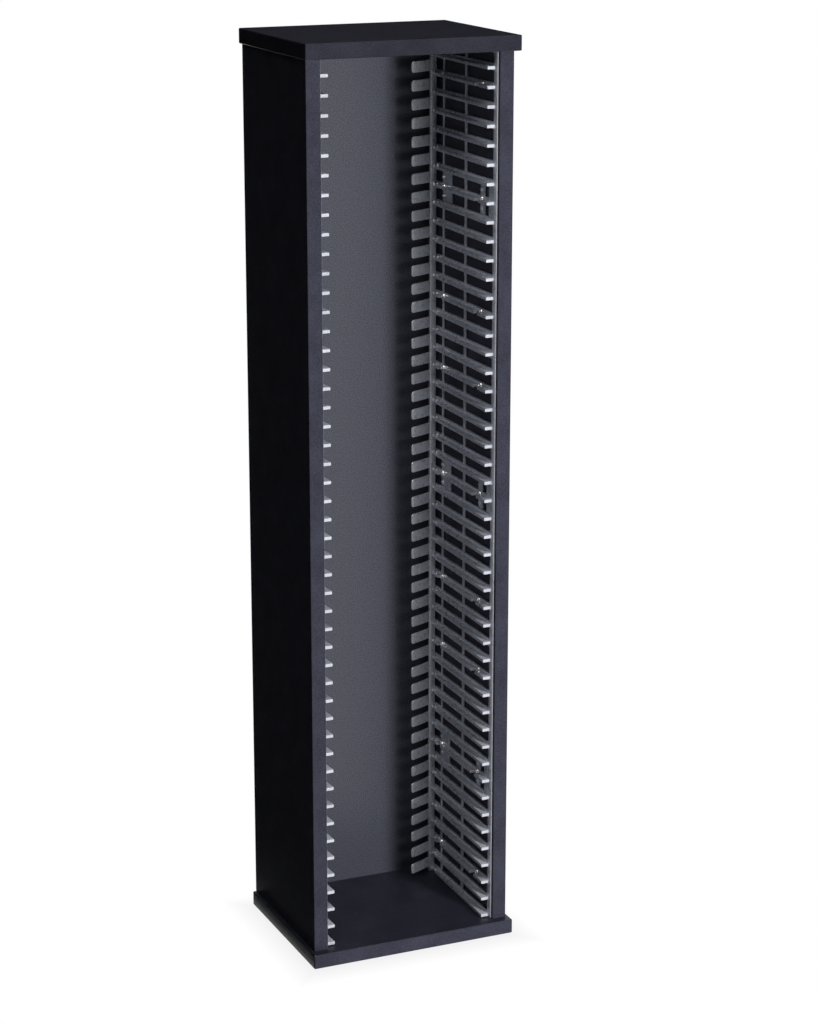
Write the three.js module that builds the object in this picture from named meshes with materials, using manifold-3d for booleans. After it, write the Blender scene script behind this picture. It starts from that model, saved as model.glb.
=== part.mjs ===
// Storage tower for disc cases: a black melamine carcass that holds two columns of
// injection-moulded slot racks. Millimetres, +Z up, front towards -Y. The origin is on the
// ground under the centre of the top panel.

import * as THREE from 'three';
import { mergeVertices } from 'three/addons/utils/BufferGeometryUtils.js';
import Module from 'manifold-3d';

const wasm = await Module();
wasm.setup();

// Slots and modules
const slotPitch = 20;
const slotsPerModule = 16;
const moduleNames = [ 'lower', 'middle', 'upper' ];
const moduleJoint = 0.4; // open line between two stacked modules
const columnClearance = 0.5; // rack column to the base and to the top

// Carcass
const boardThickness = 16;
const clearWidth = 198; // between the two side panels
const sidePanelDepth = 180;
const sideOverhang = 4;
const frontOverhang = 10;
const arrisRadius = 0.8; // softened edges of the top and base boards
const boardCornerRadius = 1.4;
const edgeBandRadius = 0.7; // front edges of the side panels
const jointGap = 0.3; // between pieces that are pressed together

// Back panel, held in grooves
const backThickness = 3;
const grooveInset = 8; // from the back of the carcass to the groove
const grooveDepth = 6;
const grooveClearance = 0.3; // each side of the back panel
const grooveEndClearance = 0.5; // from the panel's edges to the groove's floor

// Rack moulding, in depth from its own front edge, and in reach from the side panel
const rackSetback = 3; // behind the front of the side panel
const rackBackGap = 14; // from the rack to the back panel's groove
const webThickness = 2.3;
const noseThickness = 1; // the web's front edge, where its bevel starts
const noseDepth = 4.2; // how far back the bevel runs
const frontBarDepth = 6.4;
const ledgeReach = 10.8;
const ledgeThickness = 4;
const curbHeight = 2.6; // web left standing above each ledge
const headRail = 0.8; // web left standing under each ledge
const topRail = 2.4; // and at the top of the module
const midPostShare = 0.494; // the middle post's place in the rack's depth
const midPostDepth = 4;
const thinPostDepth = 2.2;
const flangeThickness = 4;

// Fixing points of the rack
const frontScrewInset = 32; // from the rack's front edge
const backScrewInset = 23.5; // from the rack's back
const screwLedges = [ 2, 8, 14 ]; // ledges counted from the bottom of a module, from 0
const notchWidth = 10;
const paddedBays = [ 7, 8 ]; // the bays under and over the middle row of screws
const padDepth = 9;
const padSpacing = 11.2; // open width between the front bar and the front pad
const backPadDepth = 22;

// Spring tongues, one for each slot
const tongueReach = 28; // inwards from its root
const tongueLean = 13.6; // forwards over that reach
const tongueHeight = 12;
const tongueThickness = 1.8;
const tongueRise = 5.4; // above the underside of the ledge
const tongueRootSink = 1.2; // how far the tongue grows out of the flange

// Rack screws
const rackScrew = { headRadius: 3.4, headHeight: 2.1, rimHeight: 0.7, shankRadius: 1.5, length: 13 };
const rackScrewClearance = 0.4;

// Carcass screws, up through the base
const carcassScrew = { headRadius: 5, headHeight: 4.2, collarRadius: 3.5, collarLength: 12, threadRadius: 2.5,
	length: 48, pointLength: 3 };
const carcassScrewClearance = 0.4;
const fixingInset = 36; // from the front and back edges of the side panels

// Dowels between the side panels and the top
const dowel = { radius: 4, length: 30 };
const dowelShareInTop = 1 / 3;
const dowelClearance = 0.35;

// Glides under the base
const glide = { radius: 9, height: 2.5, chamfer: 1, nailRadius: 1.2, nailLength: 11 };
const glideInset = 22; // from the edges of the base
const nailClearance = 0.4;

// Facets of round things
const roundSides = 8;
const holeSides = 6;
const glideSides = 10;
const arrisSteps = 1;
const cutOverrun = 1; // how far a cut runs past the face it opens

// Sizes that follow from the ones above
const modulePitch = slotsPerModule * slotPitch;
const moduleHeight = modulePitch - moduleJoint;
const columnHeight = moduleNames.length * modulePitch - moduleJoint;
const clearHeight = columnHeight + 2 * columnClearance;
const outerWidth = clearWidth + 2 * ( boardThickness + sideOverhang );
const outerDepth = sidePanelDepth + frontOverhang;
const backY = outerDepth / 2;
const sideFrontY = backY - sidePanelDepth;
const baseBottom = glide.height + jointGap;
const baseTop = baseBottom + boardThickness;
const topBottom = baseTop + clearHeight;
const sidePanelHeight = clearHeight - 2 * jointGap;
const grooveWidth = backThickness + 2 * grooveClearance;
const grooveMiddleY = backY - grooveInset - grooveWidth / 2;
const rackDepth = sidePanelDepth - rackSetback - grooveInset - grooveWidth - rackBackGap;
const screwDepths = [ frontScrewInset, rackDepth - backScrewInset ];
const webInside = jointGap + webThickness;
const flangeStart = rackDepth - flangeThickness;
const screwRise = ( ledgeThickness + curbHeight ) / 2; // the screws sit midway up the curb strip
const sidePanelMiddleX = ( clearWidth + boardThickness ) / 2;
const bays = Array.from( { length: slotsPerModule }, ( _, bay ) => bay );
const fixingYs = [ sideFrontY + fixingInset, backY - fixingInset ];

const melamine = new THREE.MeshStandardMaterial( { color: 0x24242a, roughness: 0.5 } );
const hardboard = new THREE.MeshStandardMaterial( { color: 0x1c1c21, roughness: 0.42 } );
const rackPlastic = new THREE.MeshStandardMaterial( { color: 0xb4b7bf, roughness: 0.45 } );
const zincSteel = new THREE.MeshStandardMaterial( { color: 0xc9cacb, roughness: 0.3, metalness: 1 } );
const beech = new THREE.MeshStandardMaterial( { color: 0xc79f6c, roughness: 0.7 } );
const glidePlastic = new THREE.MeshStandardMaterial( { color: 0x2b2b2d, roughness: 0.5 } );

// Solids: geometry to manifold and back, for cuts and joins
function toSolid( geometry ) {

	const bare = new THREE.BufferGeometry();
	bare.setAttribute( 'position', geometry.getAttribute( 'position' ) );
	bare.setIndex( geometry.getIndex() );
	const merged = mergeVertices( bare );
	return new wasm.Manifold( new wasm.Mesh( {
		numProp: 3,
		vertProperties: new Float32Array( merged.getAttribute( 'position' ).array ),
		triVerts: new Uint32Array( merged.getIndex().array ),
	} ) );

}

function toGeometry( solid ) {

	const mesh = solid.getMesh();
	const geometry = new THREE.BufferGeometry();
	geometry.setAttribute( 'position', new THREE.BufferAttribute( mesh.vertProperties, 3 ) );
	geometry.setIndex( new THREE.BufferAttribute( mesh.triVerts, 1 ) );
	geometry.computeVertexNormals();
	return geometry;

}

const join = ( solids ) => solids.reduce( ( sum, solid ) => sum.add( solid ) );

// A copy turned into its mirror image across X = 0, with its faces still pointing out
function mirrored( geometry ) {

	const copy = geometry.clone().scale( - 1, 1, 1 );
	const index = copy.getIndex().array;
	for ( let i = 0; i < index.length; i += 3 ) [ index[ i ], index[ i + 1 ] ] = [ index[ i + 1 ], index[ i ] ];
	copy.computeVertexNormals();
	return copy;

}

// Extrudes an outline along an axis. The outline's two coordinates are the axes that follow it:
// [ y, z ] along x, [ z, x ] along y and [ x, y ] along z.
function extrude( axis, outline, start, end ) {

	const quarterTurn = Math.PI / 2;
	const shape = new THREE.Shape( outline.map( ( [ a, b ] ) => new THREE.Vector2( a, b ) ) );
	const geometry = new THREE.ExtrudeGeometry( shape, { depth: 1, bevelEnabled: false } );
	geometry.applyMatrix4( new THREE.Matrix4().makeScale( 1, 1, end - start ).setPosition( 0, 0, start ) );
	if ( axis === 'x' ) geometry.rotateX( quarterTurn ).rotateZ( quarterTurn );
	if ( axis === 'y' ) geometry.rotateY( - quarterTurn ).rotateZ( - quarterTurn );
	return geometry;

}

function block( [ x0, x1 ], [ y0, y1 ], [ z0, z1 ] ) {

	const unit = new THREE.BoxGeometry().translate( 0.5, 0.5, 0.5 );
	const size = new THREE.Matrix4().makeScale( x1 - x0, y1 - y0, z1 - z0 );
	return unit.applyMatrix4( size.setPosition( x0, y0, z0 ) );

}

// A faceted hole whose flats, not its corners, clear a pin of the given radius
function drill( axis, pinRadius, clearance, start, end, sides = holeSides ) {

	const radius = ( pinRadius + clearance ) / Math.cos( Math.PI / sides );
	const geometry = new THREE.CylinderGeometry( radius, radius, end - start, sides );
	geometry.translate( 0, ( start + end ) / 2, 0 );
	if ( axis === 'x' ) geometry.rotateZ( - Math.PI / 2 );
	if ( axis === 'z' ) geometry.rotateX( Math.PI / 2 );
	return geometry;

}

// Boards of the top and the base: softened edges all round
function boardBlank() {

	const x = outerWidth / 2;
	const y = outerDepth / 2;
	const r = boardCornerRadius;
	const shape = new THREE.Shape();
	shape.absarc( x - r, y - r, r, 0, Math.PI / 2 );
	shape.absarc( r - x, y - r, r, Math.PI / 2, Math.PI );
	shape.absarc( r - x, r - y, r, Math.PI, 1.5 * Math.PI );
	shape.absarc( x - r, r - y, r, 1.5 * Math.PI, 2 * Math.PI );
	const geometry = new THREE.ExtrudeGeometry( shape, {
		depth: boardThickness - 2 * arrisRadius,
		bevelThickness: arrisRadius,
		bevelSize: arrisRadius,
		bevelOffset: - arrisRadius,
		bevelSegments: arrisSteps,
		curveSegments: arrisSteps,
	} );
	return toSolid( geometry.translate( 0, 0, arrisRadius ) );

}

// The groove that a board's inner face has for the back panel, stopped where the side grooves end
function boardGroove( zFloor, zMouth ) {

	const x = clearWidth / 2 + grooveDepth;
	const y = [ grooveMiddleY - grooveWidth / 2, grooveMiddleY + grooveWidth / 2 ];
	return toSolid( block( [ - x, x ], y, [ zFloor, zMouth ] ) );

}

// Calls make( x, y ) at the four places where a side panel's end is fixed
const atFixings = ( make ) => [ - 1, 1 ].flatMap(
	( side ) => fixingYs.map( ( y ) => make( side * sidePanelMiddleX, y ) ) );

function makeTopPanel() {

	const dowelSink = dowel.length * dowelShareInTop;
	const cuts = atFixings( ( x, y ) => toSolid(
		drill( 'z', dowel.radius, dowelClearance, - cutOverrun, dowelSink, roundSides ).translate( x, y, 0 ) ) );
	cuts.push( boardGroove( - cutOverrun, grooveDepth ) );
	return toGeometry( boardBlank().subtract( join( cuts ) ) );

}

function makeBasePanel() {

	const screw = carcassScrew;
	const cuts = atFixings( ( x, y ) => toSolid( drill( 'z', screw.collarRadius, carcassScrewClearance,
		- cutOverrun, boardThickness + cutOverrun, roundSides ).translate( x, y, 0 ) ) );
	cuts.push( ...atFixings( ( x, y ) => toSolid( drill( 'z', screw.headRadius, carcassScrewClearance,
		- cutOverrun, screw.headHeight + jointGap, roundSides ).translate( x, y, 0 ) ) ) );
	cuts.push( ...glidePlaces().map( ( { x, y } ) => toSolid( drill( 'z', glide.nailRadius, nailClearance,
		- cutOverrun, glide.nailLength ).translate( x, y, 0 ) ) ) );
	cuts.push( boardGroove( boardThickness - grooveDepth, boardThickness + cutOverrun ) );
	return toGeometry( boardBlank().subtract( join( cuts ) ) );

}

// The left side panel, with x = 0 at its inner face, y = 0 at its front and z = 0 at its foot.
// Its section has the banded front edge and the groove, and is extruded to the panel's height.
function makeSidePanel() {

	const t = boardThickness;
	const r = edgeBandRadius;
	const quarter = Math.PI / 2;
	const arc = ( x, y, from ) => new THREE.Path().absarc( x, y, r, from, from + quarter )
		.getPoints( arrisSteps ).map( ( p ) => [ p.x, p.y ] );
	const groove = [ grooveMiddleY - grooveWidth / 2 - sideFrontY, grooveMiddleY + grooveWidth / 2 - sideFrontY ];
	const section = [
		...arc( r - t, r, Math.PI ),
		...arc( - r, r, Math.PI + quarter ),
		[ 0, groove[ 0 ] ], [ - grooveDepth, groove[ 0 ] ],
		[ - grooveDepth, groove[ 1 ] ], [ 0, groove[ 1 ] ],
		[ 0, sidePanelDepth ], [ - t, sidePanelDepth ],
	];
	const panel = toSolid( extrude( 'z', section, 0, sidePanelHeight ) );

	const cuts = [];
	const rackFoot = columnClearance - jointGap;
	for ( const { y, z } of rackScrewPlaces() ) {

		const hole = drill( 'x', rackScrew.shankRadius, rackScrewClearance,
			webInside - rackScrew.length - rackScrewClearance, cutOverrun );
		cuts.push( toSolid( hole.translate( 0, y + rackSetback, z + rackFoot ) ) );

	}

	const threadEnd = carcassScrew.length - boardThickness;
	const dowelEnd = sidePanelHeight - dowel.length * ( 1 - dowelShareInTop );
	for ( const y of fixingYs ) {

		const thread = drill( 'z', carcassScrew.threadRadius, carcassScrewClearance, - cutOverrun, threadEnd, roundSides );
		const socket = drill( 'z', dowel.radius, dowelClearance, dowelEnd, sidePanelHeight + cutOverrun, roundSides );
		cuts.push( ...[ thread, socket ].map( ( hole ) => toSolid( hole.translate( - t / 2, y - sideFrontY, 0 ) ) ) );

	}

	return toGeometry( panel.subtract( join( cuts ) ) );

}

function makeBackPanel() {

	const overlap = grooveDepth - grooveEndClearance;
	return new THREE.BoxGeometry( clearWidth + 2 * overlap, backThickness, clearHeight + 2 * overlap );

}

// The rack moulding
// Local frame of the left rack: x from the side panel inwards, y from the rack's front edge
// backwards, z from the module's foot.

// Solid stretches of the web across one bay, from front to back, as [ start, end ] in depth.
// Windows are cut between them.
function bayPosts( bay ) {

	const padded = paddedBays.includes( bay );
	const [ frontScrew, backScrew ] = screwDepths;
	const frontPad = [ frontScrew - padDepth / 2, frontScrew + padDepth / 2 ];
	const midPost = rackDepth * midPostShare;
	const backPost = padded ? backPadDepth : thinPostDepth;
	const backPostEnd = backScrew + thinPostDepth * 2;
	return [
		[ 0, padded ? frontPad[ 0 ] - padSpacing : frontBarDepth ],
		...( padded ? [ frontPad ] : [] ),
		[ midPost - midPostDepth / 2, midPost + midPostDepth / 2 ],
		[ backPostEnd - backPost, backPostEnd ],
		[ flangeStart, rackDepth ],
	];

}

function bayWindows( bay ) {

	const foot = bay * slotPitch + ledgeThickness + curbHeight;
	const head = Math.min( ( bay + 1 ) * slotPitch - headRail, moduleHeight - topRail );
	const posts = bayPosts( bay );
	return posts.slice( 1 ).map( ( post, i ) => toSolid(
		block( [ - cutOverrun, webInside + cutOverrun ], [ posts[ i ][ 1 ], post[ 0 ] ], [ foot, head ] ) ) );

}

// Section of the web with its ledges, front bar to flange: a comb with a tooth at the foot of
// every bay, as [ z, x ]
function combSection() {

	const teeth = bays.flatMap( ( bay ) => {

		const z0 = bay * slotPitch;
		const z1 = z0 + ledgeThickness;
		return [ [ z0, bay === 0 ? jointGap : webInside ], [ z0, ledgeReach ], [ z1, ledgeReach ], [ z1, webInside ] ];

	} );
	return [ ...teeth, [ moduleHeight, webInside ], [ moduleHeight, jointGap ] ];

}

// One spring tongue: a blade that grows out of the flange and slants forward
function tongue( bay ) {

	const length = Math.hypot( tongueReach, tongueLean );
	const outline = [ [ 0, 0 ], [ length, 0 ], [ length, tongueHeight ], [ 0, tongueHeight ] ];
	const shape = new THREE.Shape( outline.map( ( [ a, b ] ) => new THREE.Vector2( a, b ) ) );
	const blade = new THREE.ExtrudeGeometry( shape, { depth: tongueThickness, bevelEnabled: false } );
	blade.rotateX( Math.PI / 2 ).rotateZ( - Math.atan2( tongueLean, tongueReach ) );
	const root = [ ledgeReach - tongueRootSink, flangeStart + tongueThickness + tongueRootSink ];
	return toSolid( blade.translate( root[ 0 ], root[ 1 ], bay * slotPitch + tongueRise ) );

}

function notch( depth, ledgeNumber ) {

	const z0 = ledgeNumber * slotPitch;
	return toSolid( block( [ webInside, ledgeReach + cutOverrun ],
		[ depth - notchWidth / 2, depth + notchWidth / 2 ], [ z0, z0 + ledgeThickness ] ) );

}

function makeRackModule() {

	const nose = [ [ jointGap, 0 ], [ jointGap + noseThickness, 0 ], [ webInside, noseDepth ], [ jointGap, noseDepth ] ];
	const flange = [
		[ jointGap, flangeStart ], [ ledgeReach, flangeStart ], [ ledgeReach, rackDepth ], [ jointGap, rackDepth ],
	];
	const solids = [
		toSolid( extrude( 'z', nose, 0, moduleHeight ) ),
		toSolid( extrude( 'y', combSection(), noseDepth, flangeStart ) ),
		toSolid( extrude( 'z', flange, 0, moduleHeight ) ),
		...bays.map( tongue ),
	];

	const cuts = bays.flatMap( bayWindows );
	for ( const ledgeNumber of screwLedges ) for ( const depth of screwDepths ) {

		const hole = drill( 'x', rackScrew.shankRadius, rackScrewClearance, - cutOverrun, webInside + cutOverrun );
		cuts.push( toSolid( hole.translate( 0, depth, ledgeNumber * slotPitch + screwRise ) ) );
		cuts.push( notch( depth, ledgeNumber ) );

	}

	return toGeometry( join( solids ).subtract( join( cuts ) ) );

}

// Where the rack screws of one side sit, from the rack column's foot and the racks' front edge
function rackScrewPlaces() {

	return moduleNames.flatMap( ( name, level ) => screwLedges.flatMap( ( ledgeNumber, row ) =>
		screwDepths.map( ( y, column ) => ( {
			name: `${ name }_screw_${ row * screwDepths.length + column + 1 }`,
			y,
			z: level * modulePitch + ledgeNumber * slotPitch + screwRise,
		} ) ) ) );

}

// Fasteners and feet, turned about Y with the head or the foot at the top end
const lathe = ( profile, sides ) => new THREE.LatheGeometry(
	profile.map( ( [ r, y ] ) => new THREE.Vector2( r, y ) ), sides );

// Pan head on y = 0 and above, pointed shank below
function makeRackScrew() {

	const s = rackScrew;
	return lathe( [
		[ 0, - s.length ], [ s.shankRadius, 0 ], [ s.headRadius, 0 ],
		[ s.headRadius, s.rimHeight ], [ 0, s.headHeight ],
	], roundSides );

}

// Flush head at y = 0, collar and thread below
function makeCarcassScrew() {

	const s = carcassScrew;
	return lathe( [
		[ 0, - s.length ], [ s.threadRadius, - s.length + s.pointLength ], [ s.threadRadius, - s.collarLength ],
		[ s.collarRadius, - s.collarLength ], [ s.collarRadius, - s.headHeight ],
		[ s.headRadius, 0 ], [ 0, 0 ],
	], roundSides );

}

function makeDowel() {

	const d = dowel;
	return lathe( [ [ 0, 0 ], [ d.radius, 0 ], [ d.radius, d.length ], [ 0, d.length ] ], roundSides );

}

// Sole at y = 0, disc above it and the nail that holds it above the disc
function makeGlide() {

	const g = glide;
	return lathe( [
		[ 0, 0 ], [ g.radius - g.chamfer, 0 ], [ g.radius, g.chamfer ], [ g.radius, g.height ],
		[ g.nailRadius, g.height ], [ g.nailRadius, g.height + g.nailLength - g.nailRadius ],
		[ 0, g.height + g.nailLength ],
	], glideSides );

}

function glidePlaces() {

	const x = outerWidth / 2 - glideInset;
	const y = outerDepth / 2 - glideInset;
	return [
		{ name: 'front_left', x: - x, y: - y }, { name: 'front_right', x, y: - y },
		{ name: 'back_left', x: - x, y }, { name: 'back_right', x, y },
	];

}

// Assembly
const tower = new THREE.Group();

function place( parent, name, geometry, material, x = 0, y = 0, z = 0 ) {

	const mesh = new THREE.Mesh( geometry, material );
	mesh.name = name;
	mesh.position.set( x, y, z );
	parent.add( mesh );
	return mesh;

}

place( tower, 'base_panel', makeBasePanel(), melamine, 0, 0, baseBottom );
place( tower, 'top_panel', makeTopPanel(), melamine, 0, 0, topBottom );
place( tower, 'back_panel', makeBackPanel(), hardboard, 0, grooveMiddleY, baseTop + clearHeight / 2 );

const leftPanel = makeSidePanel();
const leftRack = makeRackModule();
const rackScrewGeometry = makeRackScrew();
const sides = [
	{ name: 'left', sign: - 1, panel: leftPanel, rack: leftRack },
	{ name: 'right', sign: 1, panel: mirrored( leftPanel ), rack: mirrored( leftRack ) },
];

for ( const side of sides ) {

	// Each side is a group at the inner face and the front of its side panel
	const group = new THREE.Group();
	group.position.set( side.sign * clearWidth / 2, sideFrontY, baseTop );
	tower.add( group );
	place( group, `${ side.name }_side_panel`, side.panel, melamine, 0, 0, jointGap );

	const column = new THREE.Group();
	column.position.set( 0, rackSetback, columnClearance );
	group.add( column );
	moduleNames.forEach( ( name, level ) => {

		place( column, `${ side.name }_rack_${ name }`, side.rack, rackPlastic, 0, 0, level * modulePitch );

	} );

	for ( const { name, y, z } of rackScrewPlaces() ) {

		const headSeat = - side.sign * ( webInside + jointGap );
		const screw = place( column, `${ side.name }_rack_${ name }`, rackScrewGeometry, zincSteel, headSeat, y, z );
		screw.rotation.z = side.sign * Math.PI / 2;

	}

}

const carcassScrewGeometry = makeCarcassScrew();
const dowelGeometry = makeDowel();
const fixingNames = [ 'front_left', 'back_left', 'front_right', 'back_right' ];
atFixings( ( x, y ) => ( { x, y } ) ).forEach( ( { x, y }, i ) => {

	const screw = place( tower, `base_screw_${ fixingNames[ i ] }`, carcassScrewGeometry, zincSteel, x, y, baseBottom );
	screw.rotation.x = - Math.PI / 2;
	const dowelFoot = topBottom + dowel.length * dowelShareInTop - dowel.length - jointGap;
	const pin = place( tower, `top_dowel_${ fixingNames[ i ] }`, dowelGeometry, beech, x, y, dowelFoot );
	pin.rotation.x = Math.PI / 2;

} );

const glideGeometry = makeGlide();
for ( const { name, x, y } of glidePlaces() ) {

	const foot = place( tower, `glide_${ name }`, glideGeometry, glidePlastic, x, y, 0 );
	foot.rotation.x = Math.PI / 2;

}

export default tower;
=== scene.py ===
import bpy
import math
import numpy as np
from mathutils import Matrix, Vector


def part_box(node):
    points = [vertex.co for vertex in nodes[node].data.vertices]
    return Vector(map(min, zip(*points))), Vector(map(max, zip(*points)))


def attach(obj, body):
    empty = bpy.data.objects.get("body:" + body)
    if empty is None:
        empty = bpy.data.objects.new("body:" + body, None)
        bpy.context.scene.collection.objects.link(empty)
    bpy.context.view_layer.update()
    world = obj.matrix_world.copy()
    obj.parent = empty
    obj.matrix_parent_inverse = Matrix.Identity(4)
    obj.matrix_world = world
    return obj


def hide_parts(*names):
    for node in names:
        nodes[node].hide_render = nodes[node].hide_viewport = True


# Slotted storage tower: black melamine boards, a dark back panel and two columns of
# silver-grey moulded slot racks. Everything is in metres, and the front looks towards -Y.

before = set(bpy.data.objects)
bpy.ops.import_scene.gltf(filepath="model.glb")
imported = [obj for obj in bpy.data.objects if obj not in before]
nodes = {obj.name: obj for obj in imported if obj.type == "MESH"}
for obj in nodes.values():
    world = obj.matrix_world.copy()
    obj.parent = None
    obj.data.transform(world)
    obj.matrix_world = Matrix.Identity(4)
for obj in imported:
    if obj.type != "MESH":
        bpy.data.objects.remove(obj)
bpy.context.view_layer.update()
modules = ("lower", "middle", "upper")
sides = {"left": -1, "right": 1}
print("frame loaded:", len(nodes), "nodes")


def roundedOutline(corners, radius, steps=2, mostCut=0.45):
    # Each corner of a closed outline gives way to a short curve. It leaves the edge before the
    # corner and joins the edge after it, both at the same distance from the corner, and a
    # quadratic blend of these two points and the corner draws it. The distance is the radius,
    # or mostCut of the shorter edge if that is less. corners is (..., n, 2).
    toLast = np.roll(corners, 1, axis=-2) - corners
    toNext = np.roll(corners, -1, axis=-2) - corners
    lastLength = np.linalg.norm(toLast, axis=-1, keepdims=True)
    nextLength = np.linalg.norm(toNext, axis=-1, keepdims=True)
    cut = np.minimum(radius, mostCut * np.minimum(lastLength, nextLength))
    before = corners + toLast / lastLength * cut
    after = corners + toNext / nextLength * cut
    s = np.linspace(0, 1, steps + 1)[:, None]
    curve = ((1 - s) ** 2 * before[..., None, :] + 2 * s * (1 - s) * corners[..., None, :]
             + s ** 2 * after[..., None, :])
    return curve.reshape(*corners.shape[:-2], -1, 2)


def insetOutline(corners, inset):
    # A corner of an anticlockwise outline moves inwards by the inset along both edge normals:
    # the inset times the sum of the two normals, over one plus their dot product.
    along = np.roll(corners, -1, axis=-2) - corners
    normal = np.stack([-along[..., 1], along[..., 0]], -1)
    normal /= np.linalg.norm(normal, axis=-1, keepdims=True)
    last = np.roll(normal, 1, axis=-2)
    share = 1 + (normal * last).sum(-1, keepdims=True)
    return corners + inset * (normal + last) / share


def carried(rings, closed=True):
    # A ring of points carried along a path: rings is (stations, points, 3). Neighbouring points
    # of neighbouring stations make a quad. closed puts a face on the first and last ring.
    stations, count = rings.shape[:2]
    index = np.arange(stations * count).reshape(stations, count)
    ahead = np.roll(index, -1, axis=1)
    quads = np.stack([index[:-1], ahead[:-1], ahead[1:], index[1:]], -1).reshape(-1, 4)
    faces = quads.tolist()
    if closed:
        faces += [index[0, ::-1].tolist(), index[-1].tolist()]
    return rings.reshape(-1, 3), faces


def turned(profile, sectors, cut=None):
    # A profile of (radius, height) rows, from the top down, turned about the z axis. The first
    # and last row are poles on the axis. cut(radius, angle, height) is taken off the height.
    radius, height = np.array(profile, float).T
    angle = np.arange(sectors) * 2 * np.pi / sectors
    r, a = np.meshgrid(radius[1:-1], angle, indexing="ij")
    z = np.repeat(height[1:-1, None], sectors, axis=1)
    if cut is not None:
        z = z - cut(r, a, z)
        height[:1] -= cut(np.zeros(1), np.zeros(1), height[:1])
    verts, faces = carried(np.stack([r * np.cos(a), r * np.sin(a), z], -1), closed=False)
    first, last = len(verts), len(verts) + 1
    poles = np.array([[0, 0, height[0]], [0, 0, height[-1]]])
    index = np.arange(sectors)
    ahead = np.roll(index, -1)
    end = (len(radius) - 3) * sectors
    faces += np.stack([ahead, index, np.full(sectors, first)], -1).tolist()
    faces += np.stack([end + index, end + ahead, np.full(sectors, last)], -1).tolist()
    return np.vstack([verts, poles]), [loop[::-1] for loop in faces]


def joined(parts):
    # Several meshes in one: each part's face numbers move on by the points before it.
    verts, faces, start = [], [], 0
    for points, loops in parts:
        verts.append(points)
        faces += [[start + i for i in loop] for loop in loops]
        start += len(points)
    return np.vstack(verts), faces


def addObject(name, data):
    made = bpy.data.objects.new(name, data)
    bpy.context.scene.collection.objects.link(made)
    return made


def makePiece(name, verts, faces, material, node, flip=False, sharpAngle=38):
    # flip turns every face round, for a shape that was mirrored
    mesh = bpy.data.meshes.new(name)
    mesh.from_pydata(verts.tolist(), [], [loop[::-1] for loop in faces] if flip else faces)
    mesh.validate()
    mesh.update()
    mesh.shade_smooth()
    mesh.set_sharp_from_angle(angle=math.radians(sharpAngle))
    mesh.materials.append(material)
    piece = addObject(name, mesh)
    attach(piece, "root")
    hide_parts(node)


def blankMaterial(name):
    # a new material, its node tree, its shader and the Object coordinates
    material = bpy.data.materials.new(name)
    material.use_nodes = True
    tree = material.node_tree
    coordinates = tree.nodes.new("ShaderNodeTexCoord").outputs["Object"]
    return material, tree, tree.nodes["Principled BSDF"], coordinates


def addNode(tree, kind, inputs=None, **settings):
    # inputs holds fixed values, or sockets that are linked in
    node = tree.nodes.new("ShaderNode" + kind)
    for key, value in settings.items():
        setattr(node, key, value)
    for key, value in (inputs or {}).items():
        if isinstance(value, bpy.types.NodeSocket):
            tree.links.new(value, node.inputs[key])
        else:
            node.inputs[key].default_value = value
    return node


def noise(tree, coordinates, scale, detail=3, roughness=0.55, stretch=(1, 1, 1)):
    # scale is grains for each metre. They are drawn out along an axis with a small stretch.
    spread = addNode(tree, "Mapping", {"Vector": coordinates, "Scale": stretch})
    return addNode(tree, "TexNoise", {"Vector": spread.outputs[0], "Scale": scale,
                                      "Detail": detail, "Roughness": roughness}).outputs[0]


def ramp(tree, value, stops, dark, light):
    # dark up to the first stop, light from the second on, and an even change between them
    node = addNode(tree, "ValToRGB", {"Fac": value})
    for element, position, colour in zip(node.color_ramp.elements, stops, (dark, light)):
        element.position = position
        element.color = (*colour, 1)
    return node.outputs[0]


def between(tree, value, low, high, fromLow=0.3, fromHigh=0.7):
    return addNode(tree, "MapRange", {"Value": value, "From Min": fromLow, "From Max": fromHigh,
                                      "To Min": low, "To Max": high}).outputs[0]


def calculate(tree, operation, first, second=None, third=None):
    inputs = {i: v for i, v in enumerate((first, second, third)) if v is not None}
    return addNode(tree, "Math", inputs, operation=operation).outputs[0]


def blended(tree, first, second, share):
    # this share of the first and the rest of the second
    return calculate(tree, "MULTIPLY_ADD", first, share,
                     calculate(tree, "MULTIPLY", second, 1 - share))


def mixColour(tree, factor, first, second):
    return addNode(tree, "Mix", {0: factor, 6: first, 7: second}, data_type="RGBA").outputs[2]


def mixNumber(tree, factor, first, second):
    return addNode(tree, "Mix", {0: factor, 2: first, 3: second}, data_type="FLOAT").outputs[0]


def bump(tree, height, strength, distance):
    return addNode(tree, "Bump", {"Height": height, "Strength": strength,
                                  "Distance": distance}).outputs[0]


def linkFinish(tree, shader, colour, roughness, normal):
    for socket, value in (("Base Color", colour), ("Roughness", roughness), ("Normal", normal)):
        tree.links.new(value, shader.inputs[socket])


melamineLook = {
    "dark": (0.0200, 0.0205, 0.0310),
    "light": (0.0450, 0.0460, 0.0680),
    "seam": (0.0060, 0.0060, 0.0080),
    # painted shade on the top panel and painted light on the base panel, as scales of both melamine
    # colours
    "paintedLightAndShadeScales": {"top_panel": 0.6, "base_panel": 1.1},     # against the side panels
    "specular": 0.14,
    "roughness": (0.30, 0.38),
    "pearl": {"scale": 950, "detail": 2, "roughness": 0.5},     # raised by the press plate
    "cloud": {"scale": 34, "detail": 4},
    "gloss": {"scale": 204, "detail": 3},
    "pearlShare": 0.7,         # of the colour, the clouds give the rest
    "stops": (0.40, 0.62),
    "bandThickness": 0.001,
    "seamWidth": 0.00022,
    "seamDepth": 0.6,          # against the height of a pearl
    "bump": {"strength": 0.35, "distance": 0.00012},
}


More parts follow.
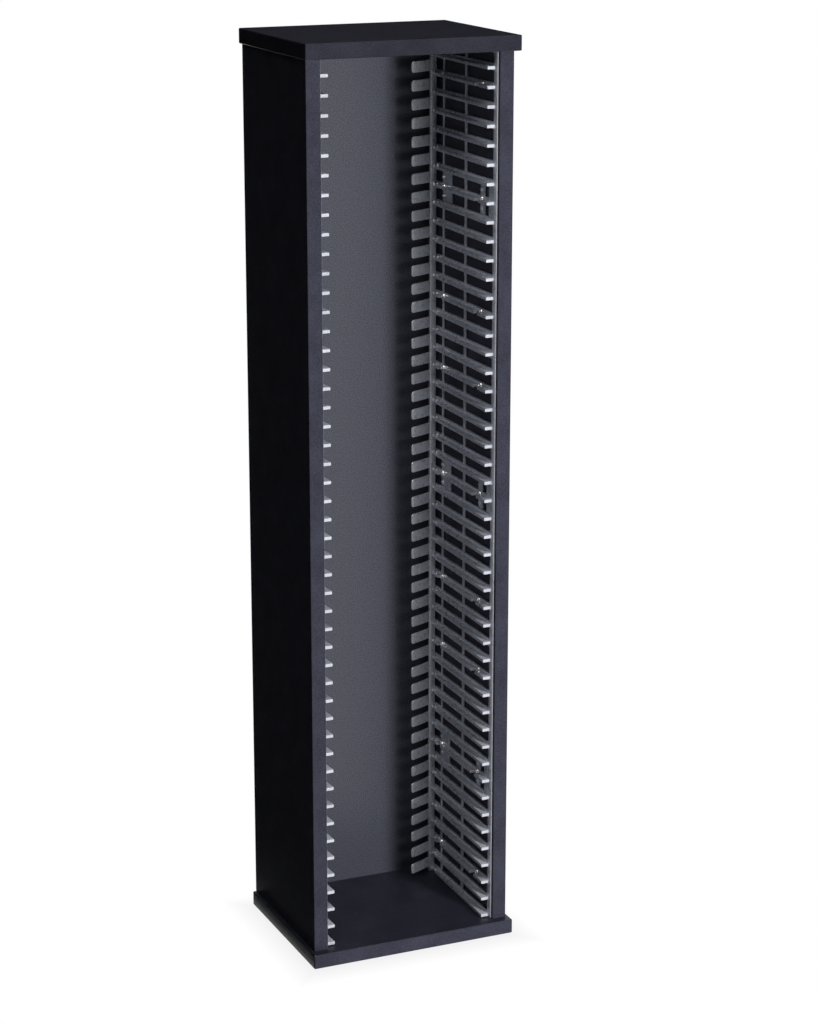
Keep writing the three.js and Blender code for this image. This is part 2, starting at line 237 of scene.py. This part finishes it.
def makeMelamine(name, board, paintedLightAndShade=1, allRound=True):
    # Black board face with a fine pearl. The hairline seam of the edge band runs one band
    # thickness in from the banded edges: all round the board, or at its front only.
    look = melamineLook
    low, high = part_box(board)
    material, tree, shader, at = blankMaterial(name)
    cloud = noise(tree, at, **look["cloud"])
    pearl = noise(tree, at, **look["pearl"])
    # both colours scaled for this board: below 1 is painted shade, above 1 is painted light
    dark, light = ([c * paintedLightAndShade for c in look[key]] for key in ("dark", "light"))
    face = ramp(tree, blended(tree, pearl, cloud, look["pearlShare"]), look["stops"], dark, light)
    x, y = addNode(tree, "SeparateXYZ", {0: at}).outputs[:2]
    if allRound:
        fromSide = calculate(tree, "SUBTRACT", high.x, calculate(tree, "ABSOLUTE", x))
        offMiddle = calculate(tree, "SUBTRACT", y, (high.y + low.y) / 2)
        fromEnd = calculate(tree, "SUBTRACT", (high.y - low.y) / 2,
                            calculate(tree, "ABSOLUTE", offMiddle))
        inward = calculate(tree, "MINIMUM", fromSide, fromEnd)
    else:
        inward = calculate(tree, "SUBTRACT", y, low.y)
    onSeam = calculate(tree, "COMPARE", inward, look["bandThickness"], look["seamWidth"] / 2)
    relief = calculate(tree, "SUBTRACT", pearl,
                       calculate(tree, "MULTIPLY", onSeam, look["seamDepth"]))
    linkFinish(tree, shader, mixColour(tree, onSeam, face, (*look["seam"], 1)),
               between(tree, noise(tree, at, **look["gloss"]), *look["roughness"]),
               bump(tree, relief, **look["bump"]))
    shader.inputs["Specular IOR Level"].default_value = look["specular"]
    return material


hardboardLook = {
    "face": ((0.0300, 0.0315, 0.0420), (0.0660, 0.0690, 0.0900)),
    "back": ((0.0240, 0.0200, 0.0170), (0.0400, 0.0330, 0.0270)),
    "faceStops": (0.42, 0.60),
    "backStops": (0.35, 0.65),
    "faceRoughness": (0.30, 0.38),
    "backRoughness": (0.66, 0.80),
    "fibre": {"scale": 260, "detail": 5, "roughness": 0.6, "stretch": (1, 1, 0.35)},
    "fine": {"scale": 1400, "detail": 2},
    "speckle": {"scale": 800, "detail": 2, "roughness": 0.6},
    "screenPitch": 0.0016,     # wire mesh printed into the back of the board
    "screenDepth": 0.5,        # against the fine relief
    "bump": {"strength": 0.25, "distance": 0.00012},
}


def makeHardboard():
    # Lacquered satin face to the front. The back shows fibres and the print of the wire screen:
    # a sine across times a sine upwards.
    look = hardboardLook
    low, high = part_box("back_panel")
    material, tree, shader, at = blankMaterial("darkHardboard")
    x, y, z = addNode(tree, "SeparateXYZ", {0: at}).outputs
    onBack = calculate(tree, "GREATER_THAN", y, (low.y + high.y) / 2)
    fibre = noise(tree, at, **look["fibre"])
    face = ramp(tree, noise(tree, at, **look["speckle"]), look["faceStops"], *look["face"])
    back = ramp(tree, fibre, look["backStops"], *look["back"])
    turns = 2 * math.pi / look["screenPitch"]
    across, upwards = (calculate(tree, "SINE", calculate(tree, "MULTIPLY", axis, turns))
                       for axis in (x, z))
    wires = calculate(tree, "MULTIPLY", calculate(tree, "MULTIPLY", across, upwards), onBack)
    relief = calculate(tree, "MULTIPLY_ADD", wires, look["screenDepth"],
                       noise(tree, at, **look["fine"]))
    linkFinish(tree, shader, mixColour(tree, onBack, face, back),
               mixNumber(tree, onBack, between(tree, fibre, *look["faceRoughness"]),
                         between(tree, fibre, *look["backRoughness"])),
               bump(tree, relief, **look["bump"]))
    return material


rackLook = {
    "dark": (0.475, 0.495, 0.545),
    "light": (0.580, 0.602, 0.655),
    "metallic": 0.2,           # aluminium flake in the melt
    "roughness": (0.24, 0.35),
    "flow": {"scale": 22, "detail": 4, "roughness": 0.6, "stretch": (1, 0.25, 1)},     # of the melt
    "grain": {"scale": 1700, "detail": 2, "roughness": 0.5},     # spark-eroded into the mould
    "gloss": {"scale": 240, "detail": 3},
    "grainShare": 0.12,        # of the colour, the flow gives the rest
    "stops": (0.36, 0.64),
    "bump": {"strength": 0.08, "distance": 0.00005},
}


def makeRackPlastic():
    look = rackLook
    material, tree, shader, at = blankMaterial("silverRackPlastic")
    grain = noise(tree, at, **look["grain"])
    mottle = blended(tree, grain, noise(tree, at, **look["flow"]), look["grainShare"])
    linkFinish(tree, shader, ramp(tree, mottle, look["stops"], look["dark"], look["light"]),
               between(tree, noise(tree, at, **look["gloss"]), *look["roughness"]),
               bump(tree, grain, **look["bump"]))
    shader.inputs["Metallic"].default_value = look["metallic"]
    return material


zincLook = {
    "dark": (0.46, 0.46, 0.45),
    "light": (0.68, 0.68, 0.66),
    "metallic": 1,
    "roughness": (0.24, 0.42),
    "blotch": {"scale": 420, "detail": 4, "roughness": 0.6},
    "scratch": {"scale": 2600, "detail": 2, "roughness": 0.5, "stretch": (1, 0.2, 0.2)},
    "stops": (0.3, 0.7),
    "bump": {"strength": 0.2, "distance": 0.00005},
}


def makeZinc():
    look = zincLook
    material, tree, shader, at = blankMaterial("zincSteel")
    blotch = noise(tree, at, **look["blotch"])
    scratch = noise(tree, at, **look["scratch"])
    linkFinish(tree, shader, ramp(tree, blotch, look["stops"], look["dark"], look["light"]),
               between(tree, scratch, *look["roughness"]), bump(tree, scratch, **look["bump"]))
    shader.inputs["Metallic"].default_value = look["metallic"]
    return material


glideLook = {
    "dark": (0.016, 0.016, 0.018),
    "light": (0.030, 0.030, 0.033),
    "roughness": (0.42, 0.58),
    "mottle": {"scale": 300, "detail": 3},
    "gloss": {"scale": 900, "detail": 2},
    "grain": {"scale": 1500, "detail": 2},
    "stops": (0.35, 0.65),
    "bump": {"strength": 0.25, "distance": 0.00008},
}


def makeGlidePlastic():
    look = glideLook
    material, tree, shader, at = blankMaterial("glidePlastic")
    mottle, gloss, grain = (noise(tree, at, **look[key]) for key in ("mottle", "gloss", "grain"))
    linkFinish(tree, shader, ramp(tree, mottle, look["stops"], look["dark"], look["light"]),
               between(tree, gloss, *look["roughness"]), bump(tree, grain, **look["bump"]))
    return material


beechLook = {
    "dark": (0.42, 0.25, 0.12),
    "light": (0.66, 0.45, 0.25),
    "roughness": (0.55, 0.72),
    "grain": {"scale": 700, "detail": 4, "roughness": 0.6, "stretch": (1, 1, 0.06)},
    "rays": {"scale": 1600, "detail": 2, "roughness": 0.5, "stretch": (1, 1, 0.3)},
    "rayShare": 0.3,           # of the colour, the grain gives the rest
    "stops": (0.35, 0.65),
    "bump": {"strength": 0.3, "distance": 0.0001},
}


def makeBeech():
    # Long grain up the dowel, with shorter rays in its colour
    look = beechLook
    material, tree, shader, at = blankMaterial("beechDowel")
    grain = noise(tree, at, **look["grain"])
    mixed = blended(tree, noise(tree, at, **look["rays"]), grain, look["rayShare"])
    linkFinish(tree, shader, ramp(tree, mixed, look["stops"], look["dark"], look["light"]),
               between(tree, grain, *look["roughness"]), bump(tree, grain, **look["bump"]))
    return material


def dress(name, material):
    # a carried-over node keeps its shape and gets the better finish
    mesh = nodes[name].data
    mesh.materials.clear()
    mesh.materials.append(material)


# lit and shaded copies of one melamine: painted shade on the top panel, painted light on the base
# panel
for board, paintedLightAndShade in melamineLook["paintedLightAndShadeScales"].items():
    dress(board, makeMelamine(f"blackMelamine_{board}", board, paintedLightAndShade))
sideMelamine = makeMelamine("blackMelamine_sides", "left_side_panel", allRound=False)
for side in sides:
    dress(f"{side}_side_panel", sideMelamine)
dress("back_panel", makeHardboard())
beechDowel = makeBeech()
for name in nodes:
    if name.startswith("top_dowel"):
        dress(name, beechDowel)
rackPlastic = makeRackPlastic()
zincSteel = makeZinc()
glidePlastic = makeGlidePlastic()
print("boards, back panel and dowels dressed")


# A rack is drawn in millimetres as (u, v, w): u inwards from the side panel, v back from the
# rack's front edge, w up from the module's foot.
rack = {
    "pitch": 20,
    "slots": 16,
    "height": 319.6,
    "depth": 151.4,
    "webOutside": 0.3,         # the two faces of the web, u
    "webInside": 2.6,
    "noseDepth": 4.2,
    "noseLine": [(0.8, 0), (1.35, 0.75), (2.5, 4.2)],     # inner side of the nose, u and v
    "frontBarDepth": 6.4,
    "flangeThickness": 4,
    "flangeReach": (3.1, 10.1),
    "curbHeight": 2.6,         # web over a ledge
    "headRail": 0.8,           # web under a ledge
    "topRail": 2.4,
    "railLap": 0.2,            # rails start this far inside the nose
    "railShort": 0.05,         # they end this far before the back
    "railShy": 0.02,           # and this far inside the module's foot and head
    "posts": [(72.8, 76.8), (130.1, 132.3)],              # front and back, v
    "padPosts": [(6, 16.3), (27.5, 36.5), (110.3, 132.3)],
    "padRise": (147.2, 179.8),
    "postShy": 0.1,
    "sunk": 0.04,              # nose and posts lie this much under the rails' faces
    "arris": 0.45,
    "endRound": 0.3,
}
ledge = {
    "rise": (0.6, 4),
    "reach": 10.8,             # at the nose
    "endReach": 7,             # what the reach would be at the flange
    "end": 140,                # it stops short of the flange
    "lap": 0.1,                # it starts this far inside the nose
    "rooted": 1.4,             # inside the web
    "screwLedges": (2, 8, 14),
    "screwDepths": (32, 127.9),
    "notchWidth": 10,
}
tie = {
    "reach": 5.8,
    "rise": (0.5, 3.1),
    "start": 139.5,
    "lap": 0.4,                # it ends this far inside the flange
}
tongue = {
    "root": (9.6, 150.4),      # back face, u and v
    "tip": (37.6, 136.8),
    "rootThickness": 1.8,
    "tipThickness": 1.35,
    "edgeRounding": 0.5,
    "bow": 0.7,
    "foot": 5.4,
    "height": 12,
    "cornerRadius": 2.3,
    "cornerShare": 0.999,      # of the quarter circle
    "stations": (0, 0.35, 0.65),                # shares of the length
    "tipStations": (0, 0.35, 0.7, 1),           # shares of the quarter circle
}
# A dome is drawn by shares of its radius and height, from the top down
nub = {
    "places": [(6.8, 145.7), (4.2, 142.0)],     # u and v
    "radius": 1.5,
    "height": 2.4,
    "dome": [(0, 1), (0.62, 0.82), (0.93, 0.4), (1, -0.2), (0, -0.2)],
    "sectors": 8,
}
pip = {
    "depths": (32, 127.9),
    "middle": 163.3,
    "offsets": (-10, 10),      # from the middle
    "radius": 2.5,
    "height": 2.3,
    "dome": [(0, 1), (0.5, 0.9), (0.82, 0.62), (1, 0.15), (1.04, -0.2), (0, -0.2)],
    "sectors": 16,
}


def endStations(start, end, radius):
    # places along a path and the inset at each: a quarter round at both ends
    turn = np.array([0, math.pi / 4, math.pi / 2])
    along = radius * (1 - np.cos(turn))
    inset = radius * (1 - np.sin(turn))
    return (np.concatenate([start + along, (end - along)[::-1]]),
            np.concatenate([inset, inset[::-1]]))


def bar(start, end, reach, rise, rooted=rack["webOutside"]):
    # A bar that runs back: a rectangle in u and w with rounded arrises, carried along v and
    # drawn in round both ends. reach is a number, or a function of v.
    along, inset = endStations(start, end, rack["endRound"])
    far = reach(along) if callable(reach) else np.full_like(along, reach)
    near, low, high = (np.full_like(along, value) for value in (rooted, *rise))
    corners = np.stack([np.stack([near, far, far, near], 1),
                        np.stack([low, low, high, high], 1)], -1)
    outline = roundedOutline(insetOutline(corners, inset[:, None, None]), rack["arris"])
    v = np.broadcast_to(along[:, None], outline.shape[:2])
    return carried(np.stack([outline[..., 0], v, outline[..., 1]], -1)[:, ::-1])


def webRails():
    # Strips of web between one row of windows and the next, and the rail at the module's head
    curb = ledge["rise"][1] + rack["curbHeight"]
    start, end = rack["noseDepth"] - rack["railLap"], rack["depth"] - rack["railShort"]
    feet = [slot * rack["pitch"] for slot in range(rack["slots"])]
    rises = [(foot - rack["headRail"] if foot else rack["railShy"], foot + curb) for foot in feet]
    rises.append((rack["height"] - rack["topRail"], rack["height"] - rack["railShy"]))
    return [bar(start, end, rack["webInside"], rise) for rise in rises]


def ledgeReach(v):
    # falls evenly from the nose to the flange
    flange = rack["depth"] - rack["flangeThickness"]
    share = (v - rack["noseDepth"]) / (flange - rack["noseDepth"])
    return ledge["reach"] + (ledge["endReach"] - ledge["reach"]) * share


def ledgeRuns(slot):
    # A ledge is one run, or three with a notch at each screw
    half = ledge["notchWidth"] / 2
    screws = ledge["screwDepths"] if slot in ledge["screwLedges"] else ()
    starts = [rack["noseDepth"] - ledge["lap"]] + [v + half for v in screws]
    ends = [v - half for v in screws] + [ledge["end"]]
    rise = [slot * rack["pitch"] + w for w in ledge["rise"]]
    return [bar(start, end, ledgeReach, rise, ledge["rooted"]) for start, end in zip(starts, ends)]


def ledgeTie(slot):
    # A low thin bar goes on from the ledge's end into the flange
    rise = [slot * rack["pitch"] + w for w in tie["rise"]]
    end = rack["depth"] - rack["flangeThickness"] + tie["lap"]
    return bar(tie["start"], end, tie["reach"], rise, ledge["rooted"])


def upright(corners, start, end):
    # A rounded outline in u and v carried straight up, with a quarter round at foot and head
    along, inset = endStations(start, end, rack["endRound"])
    shape = np.broadcast_to(np.array(corners, float), (len(along), len(corners), 2))
    outline = roundedOutline(insetOutline(shape, inset[:, None, None]), rack["arris"])
    w = np.broadcast_to(along[:, None], outline.shape[:2])
    return carried(np.stack([outline[..., 0], outline[..., 1], w], -1))


def rectangle(u0, u1, v0, v1):
    # its corners, anticlockwise
    return [(u0, v0), (u1, v0), (u1, v1), (u0, v1)]


def springTongue(slot):
    # A flat section carried from the flange to the tip, along a straight line plus a bow that is
    # half a sine wave. The thickness runs down evenly, and near the tip the height falls along
    # a quarter circle.
    t = tongue
    root, tip = np.array(t["root"]), np.array(t["tip"])
    length = np.linalg.norm(tip - root)
    c = t["cornerRadius"]
    roundOff = length - c * (1 - np.sin(np.array(t["tipStations"]) * math.pi / 2))
    along = np.concatenate([length * np.array(t["stations"]), roundOff])
    s = (along / length)[:, None]
    over = np.clip((along - (length - c)) / c, 0, 1)
    trim = c * (1 - np.sqrt(1 - over ** 2)) * t["cornerShare"]
    ahead = (tip - root) / length
    forward = np.array([ahead[1], -ahead[0]])           # towards the front
    path = root + s * (tip - root) + forward * t["bow"] * np.sin(np.pi * s)
    thickness = t["rootThickness"] + (t["tipThickness"] - t["rootThickness"]) * s[:, 0]
    half = t["height"] / 2 - trim
    q = t["edgeRounding"]
    across = np.stack([0 * half, q + 0 * half, thickness - q, thickness, thickness,
                       thickness - q, q + 0 * half, 0 * half], 1)
    up = np.stack([half - q, half, half, half - q, q - half, -half, -half, q - half], 1)
    uv = path[:, None] + across[..., None] * forward
    w = slot * rack["pitch"] + t["foot"] + t["height"] / 2 + up
    return carried(np.concatenate([uv, w[..., None]], -1))


def domed(look):
    # The rows of a dome at their real size, turned about the z axis
    profile = [(r * look["radius"], h * look["height"]) for r, h in look["dome"]]
    return turned(profile, look["sectors"])


def ledgeNubs(slot):
    # Two low round-topped nubs behind a ledge, on its tie
    verts, faces = domed(nub)
    top = slot * rack["pitch"] + tie["rise"][1]
    return [(verts + (u, v, top), faces) for u, v in nub["places"]]


def screwPips():
    # Round pips on the pads over and under the middle row of screws, facing inwards
    verts, faces = domed(pip)
    inward = np.stack([verts[:, 2], verts[:, 0], verts[:, 1]], 1)
    return [(inward + (rack["webInside"], v, pip["middle"] + w), faces)
            for v in pip["depths"] for w in pip["offsets"]]


def rackShape():
    # Rails, nose, flange and posts make the web. Each slot adds its ledge, tie, tongue and nubs.
    outer, inner = rack["webOutside"] + rack["sunk"], rack["webInside"] - rack["sunk"]
    height, depth = rack["height"], rack["depth"]
    barEnd = rack["frontBarDepth"]
    nose = [(outer, 0), *rack["noseLine"], (inner, barEnd), (outer, barEnd)]
    flange = rectangle(*rack["flangeReach"], depth - rack["flangeThickness"], depth)
    parts = webRails() + [upright(nose, 0, height), upright(flange, 0, height)]
    parts += [upright(rectangle(outer, inner, *post), rack["postShy"], height - rack["postShy"])
              for post in rack["posts"]]
    parts += [upright(rectangle(outer, inner, *post), *rack["padRise"])
              for post in rack["padPosts"]]
    for slot in range(rack["slots"]):
        parts += ledgeRuns(slot) + [ledgeTie(slot), springTongue(slot)] + ledgeNubs(slot)
    return joined(parts + screwPips())


def towerPoint(points, sign, module):
    # From a rack's own millimetres to the tower's metres, mirrored on the right side
    low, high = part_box(f"right_rack_{module}")
    panel = high.x + rack["webOutside"] / 1000
    return np.stack([sign * (panel - points[:, 0] / 1000), low.y + points[:, 1] / 1000,
                     low.z + points[:, 2] / 1000], 1)


rackVerts, rackFaces = rackShape()
for side, sign in sides.items():
    for module in modules:
        name = f"{side}_rack_{module}"
        makePiece(f"{name}_moulding", towerPoint(rackVerts, sign, module), rackFaces,
                  rackPlastic, name, flip=sign > 0)
print("slot racks made:", len(rackFaces), "faces each")


# Screws and glides are drawn in millimetres about the z axis
rackScrew = {
    "headRadius": 3.4,
    "headHeight": 2.1,
    "rimHeight": 0.7,
    "rings": (0, 0.12, 0.22, 0.34, 0.46, 0.54, 0.66, 0.8, 0.92, 1),     # shares of the radius
    "chamfer": (0.1, 0.08),
    "shankRadius": 1.5,
    "length": 13,
    "recessRadius": 1.9,
    "recessWidth": 0.95,
    "recessDepth": 1.25,
    "sectors": 24,
    "count": 6,                # in each module
}
baseScrew = {
    "headRadius": 5,
    "headHeight": 4.2,
    "rimHeight": 0.2,
    "rings": (0, 0.12, 0.24, 0.36, 0.48, 0.56, 0.75, 0.96),
    "collarRadius": 3.5,
    "collarLength": 12,
    "stepLength": 0.4,         # from the collar to the thread
    "threadRadius": 2.5,
    "length": 48,
    "pointLength": 3,
    "recessRadius": 2.7,
    "recessWidth": 1.3,
    "recessDepth": 1.8,
    "sectors": 24,
}
recess = {
    "armFade": 0.35,           # of half an arm's width
    "radiusFade": 0.3,
    "headShare": 0.75,         # the cut reaches this much of the head, from its top
}
glide = {
    "radius": 9,
    "height": 2.5,
    "rounding": 1,
    "chamfer": 0.2,
    "hollow": [(0, 0.25), (4.6, 0.25), (5.2, 0)],       # in the sole, radius and height
    "nailRadius": 1.2,
    "nailLength": 11,
    "pointLength": 1.2,
    "sectors": 32,
}


def crossRecess(look):
    # Depth of a cross in the top of a head: full within half an arm's width of either axis, and
    # running out evenly over armFade of that half width. It also runs out evenly over
    # radiusFade millimetres inside the recess's radius.
    def depth(r, a, z):
        x, y = np.abs(r * np.cos(a)), np.abs(r * np.sin(a))
        arm = np.minimum(x, y) / (look["recessWidth"] / 2)
        inArm = np.clip((1 + recess["armFade"] - arm) / recess["armFade"], 0, 1)
        inRadius = np.clip((look["recessRadius"] - r) / recess["radiusFade"], 0, 1)
        onHead = z > z.max() - look["headHeight"] * recess["headShare"]
        return look["recessDepth"] * inArm * inRadius * onHead
    return depth


def rackScrewShape():
    # Pan head over z = 0: the height falls from the crown to the rim along a quarter ellipse
    s = rackScrew
    rings = np.array(s["rings"])
    crown = s["rimHeight"] + (s["headHeight"] - s["rimHeight"]) * np.sqrt(1 - rings ** 2)
    inset, rise = s["chamfer"]
    profile = list(zip(rings * s["headRadius"], crown))
    profile += [(s["headRadius"], rise), (s["headRadius"] - inset, 0), (s["shankRadius"], 0),
                (0, -s["length"])]
    return turned(profile, s["sectors"], crossRecess(s))


def baseScrewShape():
    # Countersunk head flush with z = 0, collar, shank and point below it
    s = baseScrew
    profile = [(share * s["headRadius"], 0) for share in s["rings"]]
    profile += [(s["headRadius"], -s["rimHeight"]), (s["collarRadius"], -s["headHeight"]),
                (s["collarRadius"], -s["collarLength"]),
                (s["threadRadius"], -s["collarLength"] - s["stepLength"]),
                (s["threadRadius"], s["pointLength"] - s["length"]), (0, -s["length"])]
    return turned(profile, s["sectors"], crossRecess(s))


def glideShape():
    # From the sole up: hollow, rim rounded by a quarter circle, flat back of the disc, nail
    g = glide
    turn = np.linspace(0, math.pi / 2, 4)
    rim = zip(g["radius"] - g["rounding"] * (1 - np.sin(turn)), g["rounding"] * (1 - np.cos(turn)))
    tip = g["height"] + g["nailLength"]
    profile = g["hollow"] + list(rim)
    profile += [(g["radius"], g["height"] - g["chamfer"]),
                (g["radius"] - g["chamfer"], g["height"]), (g["nailRadius"], g["height"]),
                (g["nailRadius"], tip - g["pointLength"]), (0, tip)]
    return turned(profile[::-1], g["sectors"])


def footOf(name):
    # middle of a node's underside
    low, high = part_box(name)
    return np.array([(low.x + high.x) / 2, (low.y + high.y) / 2, low.z])


screwVerts, screwFaces = rackScrewShape()
for side, sign in sides.items():
    for module in modules:
        for number in range(1, rackScrew["count"] + 1):
            name = f"{side}_rack_{module}_screw_{number}"
            low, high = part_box(name)
            # the head looks inwards: its crown is at the node's inner end
            crown = high.x if sign < 0 else low.x
            x = crown - sign * (screwVerts[:, 2] - rackScrew["headHeight"]) / 1000
            y = (low.y + high.y) / 2 + screwVerts[:, 0] / 1000
            z = (low.z + high.z) / 2 + screwVerts[:, 1] / 1000
            makePiece(f"{name}_panhead", np.stack([x, y, z], 1), screwFaces,
                      zincSteel, name, flip=sign > 0)

headVerts, headFaces = baseScrewShape()
glideVerts, glideFaces = glideShape()
for name in nodes:
    if name.startswith("base_screw"):
        # half a turn about x puts the head below
        makePiece(f"{name}_countersunk", footOf(name) + headVerts * (1, -1, -1) / 1000, headFaces,
                  zincSteel, name)
    if name.startswith("glide"):
        makePiece(f"{name}_disc", footOf(name) + glideVerts / 1000, glideFaces,
                  glidePlastic, name)
print("screws and glides made")


cameraView = {
    "place": (-1.0903, -2.5526, 1.2509),
    "downTilt": 15.519,        # degrees
    "turn": -23.77,
    "lens": 93.37,
    "farClip": 200,
}

camera = addObject("camera", bpy.data.cameras.new("camera"))
camera.location = cameraView["place"]
camera.rotation_euler = (math.radians(90 - cameraView["downTilt"]), 0,
                         math.radians(cameraView["turn"]))
camera.data.lens = cameraView["lens"]
camera.data.clip_end = cameraView["farClip"]
bpy.context.scene.camera = camera


def seenPlain(tree):
    # 1 for a ray from the camera, a reflection or a view through glass
    path = tree.nodes.new("ShaderNodeLightPath").outputs
    return calculate(tree, "MAXIMUM", path["Is Camera Ray"],
                     calculate(tree, "MAXIMUM", path["Is Glossy Ray"], path["Is Transmission Ray"]))


floorLook = {
    "size": 60,
    "colour": (0.34, 0.34, 0.34),
    "footprint": (0.119, 0.095),     # half the tower's width and depth
    "nearShare": 0.87,               # of white, at the tower
    "shadowReach": 0.03,
}


def makeFloor():
    # Pale diffuse floor. The camera and reflections see it mixed with plain white, more of it
    # further from the tower, so the floor keeps the shadow and runs out to a white background.
    # The distance is the larger of |x| and |y|, each less half the tower's size that way.
    look = floorLook
    half = look["size"] / 2
    mesh = bpy.data.meshes.new("floor")
    mesh.from_pydata([(-half, -half, 0), (half, -half, 0), (half, half, 0), (-half, half, 0)],
                     [], [(0, 1, 2, 3)])
    addObject("floor", mesh)
    material, tree, shader, at = blankMaterial("paleFloor")
    tree.nodes.remove(shader)
    axes = addNode(tree, "SeparateXYZ", {0: at}).outputs[:2]
    beyond = [calculate(tree, "SUBTRACT", calculate(tree, "ABSOLUTE", axis), reach)
              for axis, reach in zip(axes, look["footprint"])]
    share = between(tree, calculate(tree, "MAXIMUM", *beyond), look["nearShare"], 1,
                    0, look["shadowReach"])
    pale = addNode(tree, "BsdfDiffuse", {"Color": (*look["colour"], 1)}).outputs[0]
    white = addNode(tree, "Emission", {"Color": (1, 1, 1, 1), "Strength": 1}).outputs[0]
    mixed = addNode(tree, "MixShader", {0: calculate(tree, "MULTIPLY", seenPlain(tree), share),
                                        1: pale, 2: white}).outputs[0]
    tree.links.new(mixed, tree.nodes["Material Output"].inputs[0])
    mesh.materials.append(material)


studioLight = {
    "world": 0.02,
    "lamps": [
        # name, place, aimed at, width and height, watts, what sees it
        ("keySoftbox", (1.049, -3.430, 0.814), (0, 0, 0.5), (0.36, 0.9), 136, "diffuse"),
        ("topSoftbox", (0.2, 0.9, 3.4), (0, 0, 0.5), (1.4, 1.4), 30, "both"),
        ("frontSoftbox", (0.499, -3.551, 0.814), (0, 0, 0.5), (0.9, 0.9), 24, "diffuse"),
        ("fillSoftbox", (-1.487, -1.773, 3.258), (0, 0, 0.5), (0.6, 0.6), 7, "diffuse"),
        ("sparkleSoftbox", (-0.992, -1.182, 2.339), (0, 0, 0.5), (1.1, 1.1), 80, "glossy"),
    ],
}


def makeWorld():
    # Plain white to the camera and reflections, and dim as a light
    world = bpy.data.worlds.new("softRoom")
    bpy.context.scene.world = world
    world.use_nodes = True
    tree = world.node_tree
    background = tree.nodes["Background"]
    background.inputs["Color"].default_value = (1, 1, 1, 1)
    tree.links.new(between(tree, seenPlain(tree), studioLight["world"], 1, 0, 1),
                   background.inputs["Strength"])


def makeLamp(name, place, target, size, watts, seenBy):
    # turned about x by its tilt from straight down, then about z towards the target
    data = bpy.data.lights.new(name, "AREA")
    data.shape = "RECTANGLE"
    data.size, data.size_y = size
    data.energy = watts
    lamp = addObject(name, data)
    lamp.location = place
    lamp.visible_glossy = seenBy in ("glossy", "both")
    lamp.visible_diffuse = seenBy in ("diffuse", "both")
    x, y, z = np.array(target) - np.array(place)
    lamp.rotation_euler = (math.pi / 2 - math.atan2(-z, math.hypot(x, y)), 0, math.atan2(-x, y))


# Black studio cards that only reflections see. Each flat card runs from its lowest corner to
# its highest.
flags = {
    "leftFlag": [
        ((-2.6, 0.34, 0.0008), (-0.125, 0.34, 2.6)),         # behind, to the left
        ((-2.6, -0.9, 0.0008), (-0.125, 0.34, 0.0008)),      # on the floor
        ((-1.4, -2.2, 0.0008), (-1.4, 0.34, 2.6)),           # beside the tower
    ],
    "topFlag": [((-0.6, 0.5, 0.98), (4.0, 0.5, 3.5))],
}
flagColour = (0.004, 0.004, 0.004, 1)


def cardCorners(low, high):
    # Round the card from its lowest corner, first along the first axis in which the two differ
    axis = next(i for i in range(3) if low[i] != high[i])
    corners = np.array([low, low, high, high])
    corners[[1, 3], axis] = high[axis], low[axis]
    return corners.tolist()


def makeFlag(name, cards):
    mesh = bpy.data.meshes.new(name)
    corners = [corner for card in cards for corner in cardCorners(*card)]
    mesh.from_pydata(corners, [], [range(i, i + 4) for i in range(0, len(corners), 4)])
    flag = addObject(name, mesh)
    material, _, shader, _ = blankMaterial(name)
    shader.inputs["Base Color"].default_value = flagColour
    shader.inputs["Roughness"].default_value = 1
    shader.inputs["Specular IOR Level"].default_value = 0
    mesh.materials.append(material)
    flag.visible_camera = False
    flag.visible_diffuse = False
    flag.visible_shadow = False
    flag.visible_transmission = False


makeFloor()
makeWorld()
for lamp in studioLight["lamps"]:
    makeLamp(*lamp)
for name, cards in flags.items():
    makeFlag(name, cards)
bpy.context.scene.view_settings.view_transform = "Standard"
print("camera, floor and light set")
